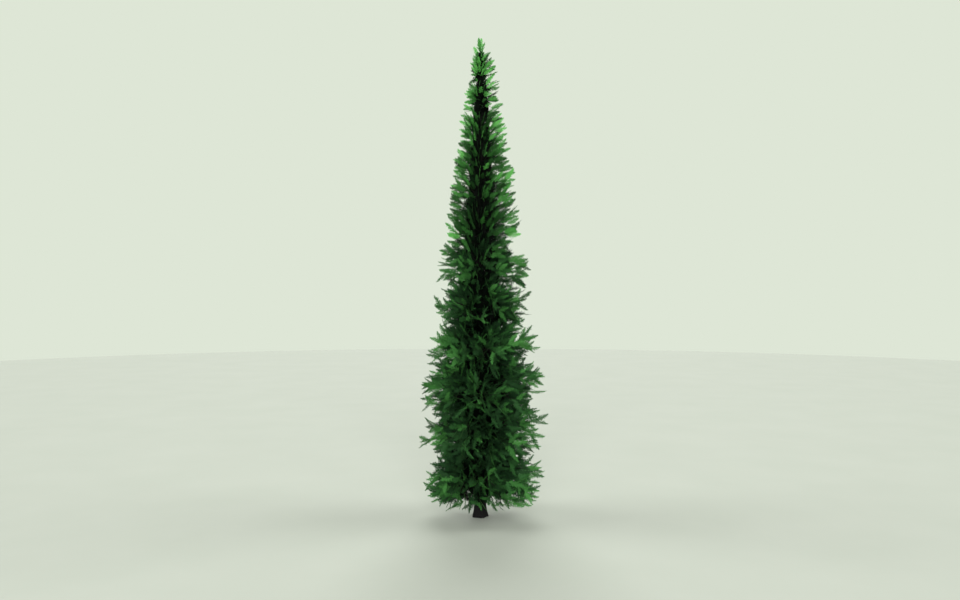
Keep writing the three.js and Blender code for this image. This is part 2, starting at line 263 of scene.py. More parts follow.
# Bark in relief: scaly plates with cracks between them on the trunk, a fine grain on the limbs
RING_SIDES = 128
RING_STEP = 0.009
RING_STEP_GROWTH = 0.006
PLATES_PER_METRE = 34.0
PLATE_STRETCH = (1, 1, 0.6)
CRACK_DEPTH = 0.005
CRACK_WIDTH = 0.22
SWELLS_PER_METRE = 9.0
SWELL = 0.01
LIMB_SIDES = 10
LIMB_STEP = 0.03
LIMB_GRAIN_PER_METRE = 55.0
LIMB_RELIEF = 0.006
TWIG_SIDES = 4
TWIG_STEP = 0.12
CONE_SIDES = 3

# Colours, in eight-bit screen values, of the barks: plates first and then cracks, mottled and grained
BRIGHTEST = 255
TRUNK_COLOURS = ((30, 27, 28), (8, 8, 9))
BOUGH_COLOURS = ((35, 32, 26), (14, 12, 10))
SHOOT_COLOURS = ((54, 60, 32), (30, 32, 17))
BOUGH_PLATES_PER_METRE = 60.0
SHOOT_PLATES_PER_METRE = 90.0
MOTTLES_PER_METRE = 14.0
LEAST_PALE = 0.35
MOTTLE_PALE = 0.9
GRAIN_PER_METRE = 220.0
GRAIN_HEIGHT = 0.002
GRAIN_STRENGTH = 0.5
LEAST_ROUGH = 0.8
MOTTLE_ROUGH = 0.2

# Tints of the needles, from dark to light: each is a piece of its own. The darker ones fall more often
# deeper in the crown, as painted shade
LOW_TINTS = {
    "needles_low_darkest": (36, 68, 37),
    "needles_low_dark": (44, 83, 43),
    "needles_low_middle": (51, 97, 49),
    "needles_low_light": (60, 114, 54),
    "needles_low_lightest": (72, 131, 64),
}
HIGH_TINTS = {
    "needles_high_dark": (41, 82, 38),
    "needles_high_middle": (57, 113, 51),
    "needles_high_light": (76, 146, 67),
    "needles_high_lightest": (100, 180, 87),
}
# Painted shade: the inner tints are darker greens for the growth inside the crown
LOW_INNER = "needles_low_inner"
LOW_INNER_TINT = (28, 54, 30)
HIGH_INNER = "needles_high_inner"
HIGH_INNER_TINT = (24, 50, 25)
# Painted shade: the near-black tint stands for the deep shade round the trunk
SHADE = "needles_in_shade"
SHADE_TINT = (4, 9, 4)

UP = Vector((0, 0, 1))
UPRIGHT = 0.95

Spray = namedtuple("Spray", "base along face size kind tint")
Strand = namedtuple("Strand", "points radii")


class Channel(IntEnum):
    """The things that vary from seed to seed: each has draws of its own."""

    PLACE_ACROSS, PLACE_UP, TIP_DEPTH, SPRAY_ROLL, KIND, SIDE_BACK, SIDE_ANGLE = range(1, 8)
    LIMB_OVER, SIDE_ROLL, SIDE_SIZE, FROND_YAW, SHADE_DEPTH, SHADE_ACROSS, SHADE_UP = range(8, 15)
    SHADE_TURN, SHADE_CLIMB, FROND_PITCH, SHADE_ROLL, SLIM = range(15, 20)
    TINT, INNER_DEPTH, INNER_ACROSS, INNER_UP, INNER_ROLL, FOOT_AZIMUTH, FOOT_DROP = range(21, 28)
    FOOT_ROLL, FLAT, SHOOT_BEND, TWIGLET_PLACE, TWIGLET_LENGTH, TWIGLET_ANGLE = range(28, 34)
    TWIGLET_LIFT, LIMB_SIDE = range(34, 36)


# The growth rule of the source

def vary(index, channel):
    """A repeatable number from -1 to 1 for any pair of whole numbers."""
    wave = math.sin(index * INDEX_STEP + channel * CHANNEL_STEP) * WAVE_FOLDS
    return 2 * (wave - math.floor(wave)) - 1


def chance(index, channel):
    """The same, from 0 to 1."""
    return (vary(index, channel) + 1) / 2


def mix(start, end, share):
    return start + (end - start) * share


def clamp(value):
    return min(max(value, 0.0), 1.0)


def crown_reach(z):
    """Radius of the crown's furthest tips at a height."""
    if z < WIDEST_HEIGHT:
        return mix(FOOT_REACH, CROWN_REACH, clamp((z - FOOT_HEIGHT) / (WIDEST_HEIGHT - FOOT_HEIGHT)))
    share = clamp((TREE_HEIGHT - z) / (TREE_HEIGHT - WIDEST_HEIGHT))
    return TIP_REACH + (CROWN_REACH - TIP_REACH) * share ** SPIRE_POWER


def lopsided(reach, facing):
    """A reach on one side of the trunk: longer where facing is 1, shorter where it is -1."""
    return reach + LOPSIDE * facing * min(1.0, reach / EVEN_REACH)


def trunk_radius(z):
    """Radius of the trunk at a height, with its flare but not its lobes."""
    taper = mix(TRUNK_RADIUS, TRUNK_TIP_RADIUS, clamp(z / TRUNK_TOP))
    return taper + FLARE_RADIUS * math.exp(-z / FLARE_HEIGHT)


def rise(axis, radius):
    """How far a bough that leaves the trunk's axis at a height has risen by a radius."""
    elevation = min(LOWEST_ELEVATION + ELEVATION_PER_METRE * axis, HIGHEST_ELEVATION)
    curl = CURL_AT_FOOT * clamp(1 - axis / CURL_ENDS)
    return math.tan(math.radians(elevation)) * radius + curl * radius * radius


def on_bough(axis, azimuth, radius):
    """A point on the surface that such boughs make all round the trunk."""
    return Vector((radius * math.cos(azimuth), radius * math.sin(azimuth), axis + rise(axis, radius)))


def bough_reach(axis):
    """Radius at which such a bough meets the crown's face."""
    reach = 0.0
    for _ in range(REACH_STEPS):
        reach = crown_reach(axis + rise(axis, reach))
    return reach


def tier_floor(tier):
    """The axis height of the level under a tier: the tiers shorten evenly upwards."""
    shortening = (LOWEST_TIER - HIGHEST_TIER) / (TIER_COUNT - 1)
    return LOWEST_AXIS + tier * LOWEST_TIER - shortening * tier * (tier - 1) / 2


def boundary_axis(tier, azimuth):
    """The axis height of the boundary under a tier: a wave, but level at the crown's two ends."""
    level = tier_floor(tier)
    if tier in (0, TIER_COUNT):
        return level
    wave_height = WAVE_SHARE * (tier_floor(tier + 1) - level)
    return level + wave_height * math.sin(WAVE_LOBES * azimuth + tier * WAVE_TURN)


def boughs_in_tier(tier):
    if tier < WIDE_TIERS:
        return BOUGHS_WIDE
    return BOUGHS_MIDDLE if tier < MIDDLE_TIERS else BOUGHS_NARROW


class Cell:
    """The space of one mass: a wedge round the trunk between its tier's two boundaries."""

    def __init__(self, tier, index):
        self.tier = tier
        self.half_angle = math.pi / boughs_in_tier(tier)
        self.azimuth = 2 * self.half_angle * (index + tier * TIER_TURN)
        self.axis = self.axis_at(self.azimuth, 0)
        self.height = self.axis_at(self.azimuth, 1) - self.axis_at(self.azimuth, -1)
        self.reach = bough_reach(self.axis)
        self.label = f"{tier + 1}_{index + 1}"
        self.seed = (tier * BOUGHS_WIDE + index) * SEEDS_PER_MASS
        self.is_high = tier >= LOW_TIERS

    def axis_at(self, azimuth, up):
        share = (up + 1) / 2
        return mix(boundary_axis(self.tier, azimuth), boundary_axis(self.tier + 1, azimuth), share)

    def on_limb(self, radius):
        """A point at a radius on the straight line that the cell's bough and stem follow."""
        stem_end = STEM_SHARE * self.reach
        base = on_bough(self.axis, self.azimuth, 0)
        return base.lerp(on_bough(self.axis, self.azimuth, stem_end), radius / stem_end)

    def on_face(self, across, up, depth):
        """A point of the crown's face in this cell, or deeper in by a share of the reach."""
        azimuth = self.azimuth + across * self.half_angle
        axis = self.axis_at(azimuth, up)
        reach = lopsided(bough_reach(axis), math.cos(azimuth))
        return on_bough(axis, azimuth, reach * (1 - depth))

    def outward(self, across, up, depth):
        """The direction in which a bough would grow at such a point."""
        inner = self.on_face(across, up, depth + TANGENT_STEP)
        return (self.on_face(across, up, depth) - inner).normalized()


def tier_cells():
    return [Cell(tier, index) for tier in range(TIER_COUNT) for index in range(boughs_in_tier(tier))]


# Helpers of the finer growth

def square_to(direction):
    """Two directions square to a given one: level across it, and over it."""
    reference = Vector((1, 0, 0)) if abs(direction.z) > UPRIGHT else UP
    side = direction.cross(reference).normalized()
    return side, side.cross(direction)


def turned(vector, axis, degrees):
    return Matrix.Rotation(math.radians(degrees), 3, axis) @ vector


def climbing(level, elevation):
    """A direction that climbs at an elevation over a level one."""
    return level * math.cos(math.radians(elevation)) + UP * math.sin(math.radians(elevation))


def level_way(azimuth):
    return Vector((math.cos(azimuth), math.sin(azimuth), 0))


def passed(heights, z):
    """How far a height has passed from the first of two heights to the second, from 0 to 1."""
    return clamp((z - heights[0]) / (heights[1] - heights[0]))


def slimness(z):
    """How far the crown has changed, at a height, from broad sprays to slim ones."""
    return passed(SLIM_HEIGHTS, z)


def along_strand(strand, share):
    """A point of a strand at a share of its length, and the direction there."""
    place = clamp(share) * (len(strand.points) - 1)
    step = min(int(place), len(strand.points) - 2)
    start = strand.points[step]
    end = strand.points[step + 1]
    return start.lerp(end, place - step), (end - start).normalized()


def cut_strand(strand, share):
    """The part of a strand up to a share of its length."""
    last = max(2, math.ceil(share * (len(strand.points) - 1)))
    end, _ = along_strand(strand, share)
    return Strand(strand.points[:last] + [end], strand.radii[:last] + [strand.radii[last]])


def strand_length(strand):
    return (strand.points[-1] - strand.points[0]).length


# Limbs and fronds

def limb_strand(cell):
    """A cell's bough and stem, with a slight bend, out to near the crown's face."""
    inset = trunk_radius(cell.axis) * LIMB_INSET
    side, over = square_to((cell.on_limb(1) - cell.on_limb(0)).normalized())
    thickest = LIMB_RADIUS_PER_REACH * cell.reach
    points = []
    radii = []
    for step in range(LIMB_STEPS + 1):
        share = step / LIMB_STEPS
        wander = LIMB_WANDER * cell.reach * min(step, WANDER_STEPS) / WANDER_STEPS
        sideways = side * vary(cell.seed + step, Channel.LIMB_SIDE)
        shift = sideways + over * vary(cell.seed + step, Channel.LIMB_OVER)
        points.append(cell.on_limb(mix(inset, STEM_SHARE * cell.reach, share)) + shift * wander)
        radii.append(mix(thickest, LIMB_THINNING * thickest, share))
    return Strand(points, radii)


def leader_strand():
    """The leader's stem, from inside the trunk's tip."""
    points = [UP * (TRUNK_TOP - LEADER_INSET), UP * (TRUNK_TOP + LEADER_STEM)]
    return Strand(points, [TRUNK_TIP_RADIUS, LEADER_TIP_RADIUS])


def place_in_row(step, steps, variation):
    """The middle of one step of an even row from -1 to 1, moved a little."""
    return 2 * (step + 0.5 + PLACE_JITTER * variation) / steps - 1


def frond_places(cell):
    """The places of a mass's fronds over its face, in staggered rows, furthest from its middle first."""
    slim = slimness(cell.axis)
    rows = round(cell.height / mix(*ROW_HEIGHT, slim))
    across_face = 2 * cell.half_angle * cell.reach
    columns = round(across_face / mix(*FROND_SPACING, slim))
    places = []
    for row in range(rows):
        stagger = -ROW_STAGGER if row % 2 else ROW_STAGGER
        for column in range(columns):
            seed = cell.seed + len(places)
            across = place_in_row(column + stagger, columns, vary(seed, Channel.PLACE_ACROSS))
            up = place_in_row(row, rows, vary(seed, Channel.PLACE_UP))
            places.append((across, up, seed))
    return sorted(places, key=lambda place: -math.hypot(place[0], place[1]))


def tip_depth(cell, up, seed):
    """How deep a frond's tip lies: a few stand out to the crown's face, the rest stay behind them."""
    slim = slimness(cell.axis)
    pick = chance(seed, Channel.TIP_DEPTH)
    proud_share = mix(*PROUD_SHARE, slim)
    if pick < proud_share:
        return PROUD_DEPTH * pick / proud_share
    behind = (pick - proud_share) / (1 - proud_share)
    depth = mix(mix(*LEAST_DEPTH, slim), mix(*FACE_DEPTH, slim), behind)
    is_skirt = cell.tier == 0 and up < SKIRT_UP
    return SKIRT_DEPTH * depth if is_skirt else depth


def frond_strand(root, tip, outward):
    """A frond's twig: it leaves its limb, bends outwards and thins to its tip."""
    middle = tip - outward * FROND_BEND * (tip - root).length
    shares = [step / FROND_STEPS for step in range(FROND_STEPS + 1)]
    points = [root.lerp(middle, share).lerp(middle.lerp(tip, share), share) for share in shares]
    return Strand(points, [mix(*FROND_RADII, share) for share in shares])


def grow_mass(cell):
    """The fronds and the sprays of one mass. The last frond goes on from the limb's end."""
    places = frond_places(cell)
    slim = slimness(cell.axis)
    nearest = mix(*FROND_FROM, slim)
    furthest = mix(*FROND_TO, slim)
    shares = [mix(nearest, furthest, order / (len(places) - 1)) for order in range(len(places))]
    limb_end = (0, 0, cell.seed + len(places))
    strands = []
    sprays = []
    for share, (across, up, seed) in zip(shares + [STEM_SHARE], places + [limb_end]):
        under_next = clamp(up) * (1 - slim)
        depth = tip_depth(cell, up, seed) + LAYER_DEPTH * under_next
        tip = cell.on_face(across, up, depth)
        yaw = mix(*FROND_YAW, slim) * vary(seed, Channel.FROND_YAW)
        pitch = mix(*FROND_PITCH, slim) * vary(seed, Channel.FROND_PITCH)
        outward = turned(cell.outward(across, up, depth), UP, yaw)
        outward = turned(outward, square_to(outward)[0], pitch)
        strand = frond_strand(cell.on_limb(share * cell.reach), tip, outward)
        # Painted shade: sprays deeper in the crown, and those under the next layer, get a lower lift and
        # so darker tints
        lift = FACE_LIFT - depth / mix(*FACE_DEPTH, slim) - LAYER_SHADE * under_next + height_lift(tip.z)
        end_spray, side_sprays = frond_sprays(cell, strand, seed, lift)
        if end_spray:
            bare_share = 1 - end_spray[0].size * SPRAY_LENGTH / strand_length(strand)
            strands.append(cut_strand(strand, bare_share))
            sprays += end_spray + side_sprays
    return strands, sprays


# Sprays

def height_lift(z):
    """How much lighter growth is dealt at a height: the low and the high tints meet evenly."""
    if z > TINTS_MEET:
        return mix(-TINT_DROP, TINT_STEP, passed((TINTS_MEET, TREE_HEIGHT), z))
    return TINT_STEP * clamp(1 - (TINTS_MEET - z) / TINT_FADE)


def tint_of(seed, lift, is_high):
    """The tint that a spray is dealt: lighter towards the tips, darker deeper in the crown as painted
    shade.
    """
    names = list(HIGH_TINTS if is_high else LOW_TINTS)
    share = clamp(0.5 + 0.5 * (TINT_SPREAD * vary(seed, Channel.TINT) + lift))
    return names[min(int(share * len(names)), len(names) - 1)]


def kind_for(seed, z):
    """The kind of spray that is dealt at a height: the slim kinds come after the broad ones."""
    kind = int(chance(seed, Channel.KIND) * SPRAY_KINDS)
    is_slim = chance(seed, Channel.SLIM) < slimness(z)
    return kind + SPRAY_KINDS if is_slim else kind


def fits_crown(spray):
    """True where a spray's tip is inside the crown and clear of the ground."""
    tip = spray.base + spray.along * spray.size * SPRAY_LENGTH
    radius = math.hypot(tip.x, tip.y)
    reach = lopsided(crown_reach(tip.z), tip.x / max(radius, TRUNK_TIP_RADIUS))
    lowest = LOWEST_NEEDLE + LOWEST_NEEDLE_RISE * radius
    return tip.z > lowest and radius < TIP_ROOM * reach


def fitted(spray):
    """A spray as a list of one, drawn in until it fits the crown, or of none."""
    for step in range(SHRINK_TRIES):
        smaller = spray._replace(size=spray.size * SHRINK_STEP ** step)
        if fits_crown(smaller):
            return [smaller]
    return []


def frond_sprays(cell, strand, seed, lift):
    """The spray at a frond's end, and those beside it in nearly the same plane."""
    tip = strand.points[-1]
    frond_length = strand_length(strand)
    per_reach = mix(*END_LENGTH_PER_REACH, slimness(cell.axis))
    length = min(END_LENGTH_AT_TIP + per_reach * cell.reach, END_SHARE_OF_FROND * frond_length)
    base, _ = along_strand(strand, 1 - length / frond_length)
    along = (tip - base).normalized()
    on_edge = passed(ON_EDGE_HEIGHTS, cell.axis)
    roll = mix(*SPRAY_ROLL, on_edge) * vary(seed, Channel.SPRAY_ROLL)
    if chance(seed, Channel.FLAT) < FLAT_SHARE * on_edge:
        roll += FLAT_ROLL
    face = turned(square_to(along)[0], along, roll)
    tint = tint_of(seed, lift + END_LIFT, cell.is_high)
    end = Spray(base, along, face, length / SPRAY_LENGTH, kind_for(seed, tip.z), tint)
    side_sprays = []
    for number in range(round(SIDE_SPRAYS * (1 - slimness(tip.z)))):
        way = 1 if number % 2 else -1
        side_sprays += side_spray(cell, strand, end, seed * SEEDS_PER_FROND + number, way, lift)
    return fitted(end), side_sprays


def side_spray(cell, strand, end, seed, way, lift):
    """A spray that leaves a frond to one side behind its end spray, as a list of one or of none."""
    back = end.size * SPRAY_LENGTH * (SIDE_FROM + SIDE_STEP * chance(seed, Channel.SIDE_BACK))
    base, direction = along_strand(strand, max(SIDE_NEAREST, 1 - back / strand_length(strand)))
    angle = SIDE_ANGLE + SIDE_ANGLE_SPREAD * vary(seed, Channel.SIDE_ANGLE)
    along = turned(direction, end.face, way * angle)
    roll = mix(*SIDE_ROLL, passed(ON_EDGE_HEIGHTS, cell.axis)) * vary(seed, Channel.SIDE_ROLL)
    face = turned(end.face, along, roll)
    size = end.size * (SIDE_SIZE + SIDE_SIZE_SPREAD * vary(seed, Channel.SIDE_SIZE))
    kind = kind_for(seed, strand.points[-1].z)
    return fitted(Spray(base, along, face, size, kind, tint_of(seed, lift + SIDE_LIFT, cell.is_high)))


def inner_sprays(cell):
    """The growth of one mass between its dark middle and its face, with its ends outwards, in a darker
    tint that is painted shade.
    """
    furthest = mix(*INNER_TO, slimness(cell.axis))
    face_width = 2 * cell.half_angle * furthest * cell.reach
    size = min(INNER_LARGEST, INNER_SIZE + INNER_SIZE_PER_REACH * cell.reach)
    tint = HIGH_INNER if cell.is_high else LOW_INNER
    sprays = []
    for number in range(round(INNER_PER_AREA * face_width * cell.height)):
        seed = cell.seed + INNER_SEEDS + number
        depth = 1 - mix(INNER_FROM, furthest, abs(vary(seed, Channel.INNER_DEPTH)))
        across = vary(seed, Channel.INNER_ACROSS)
        up = vary(seed, Channel.INNER_UP)
        tip = cell.on_face(across, up, depth)
        aim = cell.on_face(INNER_AIM_ACROSS * across, INNER_AIM_UP * up, 1 - SHADE_FROM)
        along = (tip - aim).normalized()
        roll = INNER_ROLL[cell.is_high] * vary(seed, Channel.INNER_ROLL)
        face = turned(square_to(along)[0], along, roll)
        base = tip - along * size * SPRAY_LENGTH
        sprays += fitted(Spray(base, along, face, size, number % INNER_KINDS, tint))
    return sprays


def shade_sprays(cell):
    """The growth of one mass near the trunk, in a near-black tint that is painted shade: sprays that
    climb with their faces outwards.
    """
    furthest = mix(*SHADE_TO, slimness(cell.axis))
    round_trunk = 2 * cell.half_angle * furthest * cell.reach
    per_area = mix(*SHADE_PER_AREA, slimness(cell.axis))
    climb = mix(*SHADE_CLIMB, clamp(cell.axis / SHADE_STEEPEST_AT))
    size = min(SHADE_LARGEST, SHADE_SIZE + SHADE_SIZE_PER_REACH * cell.reach)
    sprays = []
    for number in range(max(FEWEST_IN_SHADE, round(per_area * round_trunk * cell.height))):
        seed = cell.seed + SHADE_SEEDS + number
        share = mix(SHADE_FROM, furthest, math.sqrt(abs(vary(seed, Channel.SHADE_DEPTH))))
        middle = cell.on_face(vary(seed, Channel.SHADE_ACROSS), vary(seed, Channel.SHADE_UP), 1 - share)
        outward = Vector((middle.x, middle.y, 0)).normalized()
        level = outward + UP.cross(outward) * vary(seed, Channel.SHADE_TURN)
        own_climb = climb + SHADE_CLIMB_SPREAD * vary(seed, Channel.SHADE_CLIMB)
        along = climbing(level, own_climb).normalized()
        face = turned(outward, along, SHADE_ROLL * vary(seed, Channel.SHADE_ROLL))
        base = middle - along * size * SPRAY_LENGTH / 2
        sprays += fitted(Spray(base, along, face, size, number % INNER_KINDS, SHADE))
    return sprays


def foot_sprays(cell):
    """The growth that hangs round the trunk's foot under a bough of the lowest tier."""
    sprays = []
    for number in range(FOOT_SPRAYS):
        seed = cell.seed + FOOT_SEEDS + number
        share = (number + 0.5) / FOOT_SPRAYS
        level = level_way(cell.azimuth + cell.half_angle * vary(seed, Channel.FOOT_AZIMUTH))
        along = climbing(level, -mix(*FOOT_DROOPS, share))
        height = cell.axis - FOOT_DROP + FOOT_DROP_SPREAD * vary(seed, Channel.FOOT_DROP)
        base = level * mix(*FOOT_RADII, share) + UP * height
        face = turned(level.cross(UP), along, SPRAY_ROLL[0] * vary(seed, Channel.FOOT_ROLL))
        # Painted shade: the foot's growth under the lowest boughs gets darker tints
        tint = tint_of(seed, FOOT_LIFT, False)
        sprays += fitted(Spray(base, along, face, FOOT_SIZE, kind_for(seed, base.z), tint))
    return sprays


def leader_sprays():
    """The leader on the trunk's tip: slim sprays climb round it, the steepest one to the very top."""
    sprays = []
    for place in range(LEADER_SPRAYS):
        share = place / (LEADER_SPRAYS - 1)
        level = level_way(place * GOLDEN_ANGLE + LEADER_TURN)
        along = climbing(level, mix(LEADER_ELEVATION, LEADER_TOP_ELEVATION, share))
        base = UP * (TRUNK_TOP + LEADER_STEM * mix(*LEADER_ROOTS, share))
        length = mix(LEADER_SPRAY_LENGTH, (TREE_HEIGHT - base.z) / along.z, share)
        tint = LEADER_TINTS[place % len(LEADER_TINTS)]
        kind = SPRAY_KINDS + place % SPRAY_KINDS
        sprays.append(Spray(base, along, level.cross(UP), length / SPRAY_LENGTH, kind, tint))
    return sprays


# Node trees

class Wire:
    """A node's output that takes part in arithmetic: every operation adds a Math node."""

    def __init__(self, tree, socket=None):
        self.tree = tree
        self.socket = socket

    def node(self, kind, settings=None, sockets=None, output=0):
        """Adds a node, sets it, feeds its sockets with values or wires, and returns an output."""
        node = self.tree.nodes.new(kind)
        for name, value in (settings or {}).items():
            setattr(node, name, value)
        for name, value in (sockets or {}).items():
            if isinstance(value, Wire):
                value.feed(node, name)
            else:
                node.inputs[name].default_value = value
        return Wire(self.tree, node.outputs[output])

    def feed(self, node, name):
        """Links this output to a socket of a node."""
        self.tree.links.new(self.socket, node.inputs[name])

    def other(self, output):
        """Another output of the same node."""
        return Wire(self.tree, self.socket.node.outputs[output])

    def math(self, operation, first, second):
        return self.node("ShaderNodeMath", {"operation": operation}, {0: first, 1: second})

    def vector(self, operation, sockets):
        return self.node("ShaderNodeVectorMath", {"operation": operation}, sockets)

    def __add__(self, other):
        return self.math("ADD", self, other)

    def __radd__(self, other):
        return self.math("ADD", other, self)

    def __sub__(self, other):
        return self.math("SUBTRACT", self, other)

    def __rsub__(self, other):
        return self.math("SUBTRACT", other, self)

    def __mul__(self, other):
        return self.math("MULTIPLY", self, other)

    def __rmul__(self, other):
        return self.math("MULTIPLY", other, self)


def geometry_tree(name, numbers, others=None):
    """An empty geometry tree with named inputs, numbers and others, and a wire from each of them."""
    tree = bpy.data.node_groups.new(name, "GeometryNodeTree")
    tree.interface.new_socket("Geometry", in_out="OUTPUT", socket_type="NodeSocketGeometry")
    inputs = {**dict.fromkeys(numbers, "Float"), **(others or {})}
    kinds = {"Geometry": "Geometry", **inputs, "Material": "Material"}
    for label, kind in kinds.items():
        tree.interface.new_socket(label, in_out="INPUT", socket_type=f"NodeSocket{kind}")
    start = tree.nodes.new("NodeGroupInput")
    return {label: Wire(tree, start.outputs[label]) for label in kinds}


def finish_tree(geometry, material):
    """Ends a geometry tree: instances become plain mesh, in one material."""
    realized = geometry.node("GeometryNodeRealizeInstances", None, {"Geometry": geometry})
    sockets = {"Geometry": realized, "Material": material}
    painted = geometry.node("GeometryNodeSetMaterial", None, sockets)
    end = geometry.tree.nodes.new("NodeGroupOutput")
    painted.feed(end, "Geometry")
    return geometry.tree


def raised(geometry, outward, height):
    """A mesh with each point moved outwards by a height, and shaded smooth."""
    shift = geometry.vector("SCALE", {0: outward, "Scale": height})
    moved = geometry.node("GeometryNodeSetPosition", None, {"Geometry": geometry, "Offset": shift})
    return geometry.node("GeometryNodeSetShadeSmooth", None, {"Geometry": moved, "Shade Smooth": True})


def attribute(wire, name, kind):
    """What the points of a starting mesh carry under a name."""
    return wire.node("GeometryNodeInputNamedAttribute", {"data_type": kind}, {"Name": name})


def noise(wire, place, per_metre, detail):
    return wire.node("ShaderNodeTexNoise", None, {"Vector": place, "Scale": per_metre, "Detail": detail})


def random_between(wire, lowest, highest, seed):
    """A random number for each point between two values, by the node's numbered sockets."""
    sockets = {2: lowest, 3: highest, 8: seed}
    return wire.node("FunctionNodeRandomValue", {"data_type": "FLOAT"}, sockets, 1)


def rotation_about(wire, axis, angle):
    return wire.node("FunctionNodeAxisAngleToRotation", None, {"Axis": axis, "Angle": angle})


def rotated(rotation, turn):
    """A rotation with another one added to it in its own frame."""
    sockets = {"Rotation": rotation, "Rotate By": turn}
    return rotation.node("FunctionNodeRotateRotation", {"rotation_space": "LOCAL"}, sockets)


def needle_tree():
    """Needles along both sides of every shoot of a spray, leaning to the shoot's tip."""
    numbers = ["Spacing", "Lean", "Tilt", "Smallest", "Largest"]
    wires = geometry_tree("needles on shoots", numbers, {"Needle": "Object", "Seed": "Int"})
    shoots = wires["Geometry"]
    curve = shoots.node("GeometryNodeMeshToCurve", None, {"Mesh": shoots})
    spaced = {"Curve": curve, "Length": wires["Spacing"]}
    points = shoots.node("GeometryNodeCurveToPoints", {"mode": "LENGTH"}, spaced)
    axes = {"primary_axis": "Z", "secondary_axis": "X"}
    facing = {0: points.other("Tangent"), 1: (0, 0, 1)}
    along = shoots.node("FunctionNodeAxesToRotation", axes, facing)
    tilt = random_between(shoots, -1.0 * wires["Tilt"], wires["Tilt"], wires["Seed"])
    either_side = shoots.node("GeometryNodeInputIndex") * math.pi
    rolled = rotated(along, rotation_about(shoots, (0, 0, 1), either_side + tilt))
    leaning = rotated(rolled, rotation_about(shoots, (1, 0, 0), wires["Lean"]))
    size = random_between(shoots, wires["Smallest"], wires["Largest"], wires["Seed"])
    needle = shoots.node("GeometryNodeObjectInfo", None, {"Object": wires["Needle"]}, "Geometry")
    placed = {"Points": points, "Instance": needle, "Rotation": leaning, "Scale": size}
    needles = shoots.node("GeometryNodeInstanceOnPoints", None, placed)
    return finish_tree(needles, wires["Material"])


def spray_tree():
    """One kind of spray on every point, turned and sized by the point's own attributes."""
    wires = geometry_tree("sprays on twigs", [], {"Kinds": "Collection"})
    points = wires["Geometry"]
    turn = attribute(points, "turn", "FLOAT_VECTOR")
    apart = {"Collection": wires["Kinds"], "Separate Children": True, "Reset Children": True}
    placed = {
        "Points": points,
        "Instance": points.node("GeometryNodeCollectionInfo", None, apart),
        "Pick Instance": True,
        "Instance Index": attribute(points, "kind", "INT"),
        "Rotation": points.node("FunctionNodeEulerToRotation", None, {0: turn}),
        "Scale": attribute(points, "size", "FLOAT"),
    }
    return finish_tree(points.node("GeometryNodeInstanceOnPoints", None, placed), wires["Material"])


def limb_tree():
    """Round limbs along strands, as thick as the strands are, with a little relief."""
    wires = geometry_tree("limbs", ["Step", "Grain per metre", "Relief"], {"Sides": "Int"})
    strands = wires["Geometry"]
    curve = strands.node("GeometryNodeMeshToCurve", None, {"Mesh": strands})
    stepped = {"Curve": curve, "Length": wires["Step"]}
    even = strands.node("GeometryNodeResampleCurve", {"mode": "LENGTH"}, stepped)
    ring = {"Resolution": wires["Sides"], "Radius": 1.0}
    profile = strands.node("GeometryNodeCurvePrimitiveCircle", {"mode": "RADIUS"}, ring)
    radius = attribute(strands, "thickness", "FLOAT")
    swept = {"Curve": even, "Profile Curve": profile, "Scale": radius, "Fill Caps": True}
    tube = strands.node("GeometryNodeCurveToMesh", None, swept)
    place = strands.node("GeometryNodeInputPosition")
    height = (noise(strands, place, wires["Grain per metre"], detail=2.0) - 0.5) * wires["Relief"]
    outward = strands.node("GeometryNodeInputNormal")
    return finish_tree(raised(tube, outward, height), wires["Material"])


def plates(wire, place, per_metre, crack_width):
    """Scaly plates round the trunk: 1 on a plate, falling to 0 in the cracks."""
    sockets = {"Vector": place, "Scale": per_metre}
    to_edge = wire.node("ShaderNodeTexVoronoi", {"feature": "DISTANCE_TO_EDGE"}, sockets)
    sockets = {"Value": to_edge, "From Max": crack_width}
    return wire.node("ShaderNodeMapRange", {"interpolation_type": "SMOOTHSTEP"}, sockets)


def bark_tree():
    """Scaly plates on the trunk: the cracks between them are cut in towards its axis."""
    numbers = ["Plates per metre", "Crack width", "Crack depth", "Swells per metre", "Swell"]
    wires = geometry_tree("bark plates", numbers)
    trunk = wires["Geometry"]
    place = trunk.node("GeometryNodeInputPosition")
    stretched = trunk.vector("MULTIPLY", {0: place, 1: PLATE_STRETCH})
    plate = plates(trunk, stretched, wires["Plates per metre"], wires["Crack width"])
    swelling = noise(trunk, stretched, wires["Swells per metre"], detail=3.0)
    height = (plate - 1.0) * wires["Crack depth"] + (swelling - 0.5) * wires["Swell"]
    level = trunk.vector("MULTIPLY", {0: place, 1: (1, 1, 0)})
    outward = trunk.vector("NORMALIZE", {0: level})
    return finish_tree(raised(trunk, outward, height), wires["Material"])


def grow(name, mesh, tree, inputs):
    """A plain object at the origin, from a starting mesh run through a geometry tree."""
    piece = bpy.data.objects.new(name, mesh)
    scene.collection.objects.link(piece)
    modifier = piece.modifiers.new("growth", "NODES")
    modifier.node_group = tree
    for item in tree.interface.items_tree:
        if item.in_out == "INPUT" and item.name in inputs:
            modifier[item.identifier] = inputs[item.name]
    evaluated = piece.evaluated_get(bpy.context.evaluated_depsgraph_get())
    grown = bpy.data.meshes.new_from_object(evaluated)
    piece.modifiers.clear()
    piece.data = grown
    grown.name = name
    grown.materials.clear()
    grown.materials.append(inputs["Material"])
    grown.polygons.foreach_set("material_index", [0] * len(grown.polygons))
    return piece


# Materials

def linear(*tone):
    """A colour given in eight-bit screen values, as the shader needs it."""
    screen = Color([value / BRIGHTEST for value in tone])
    return (*screen.from_srgb_to_scene_linear(), 1.0)


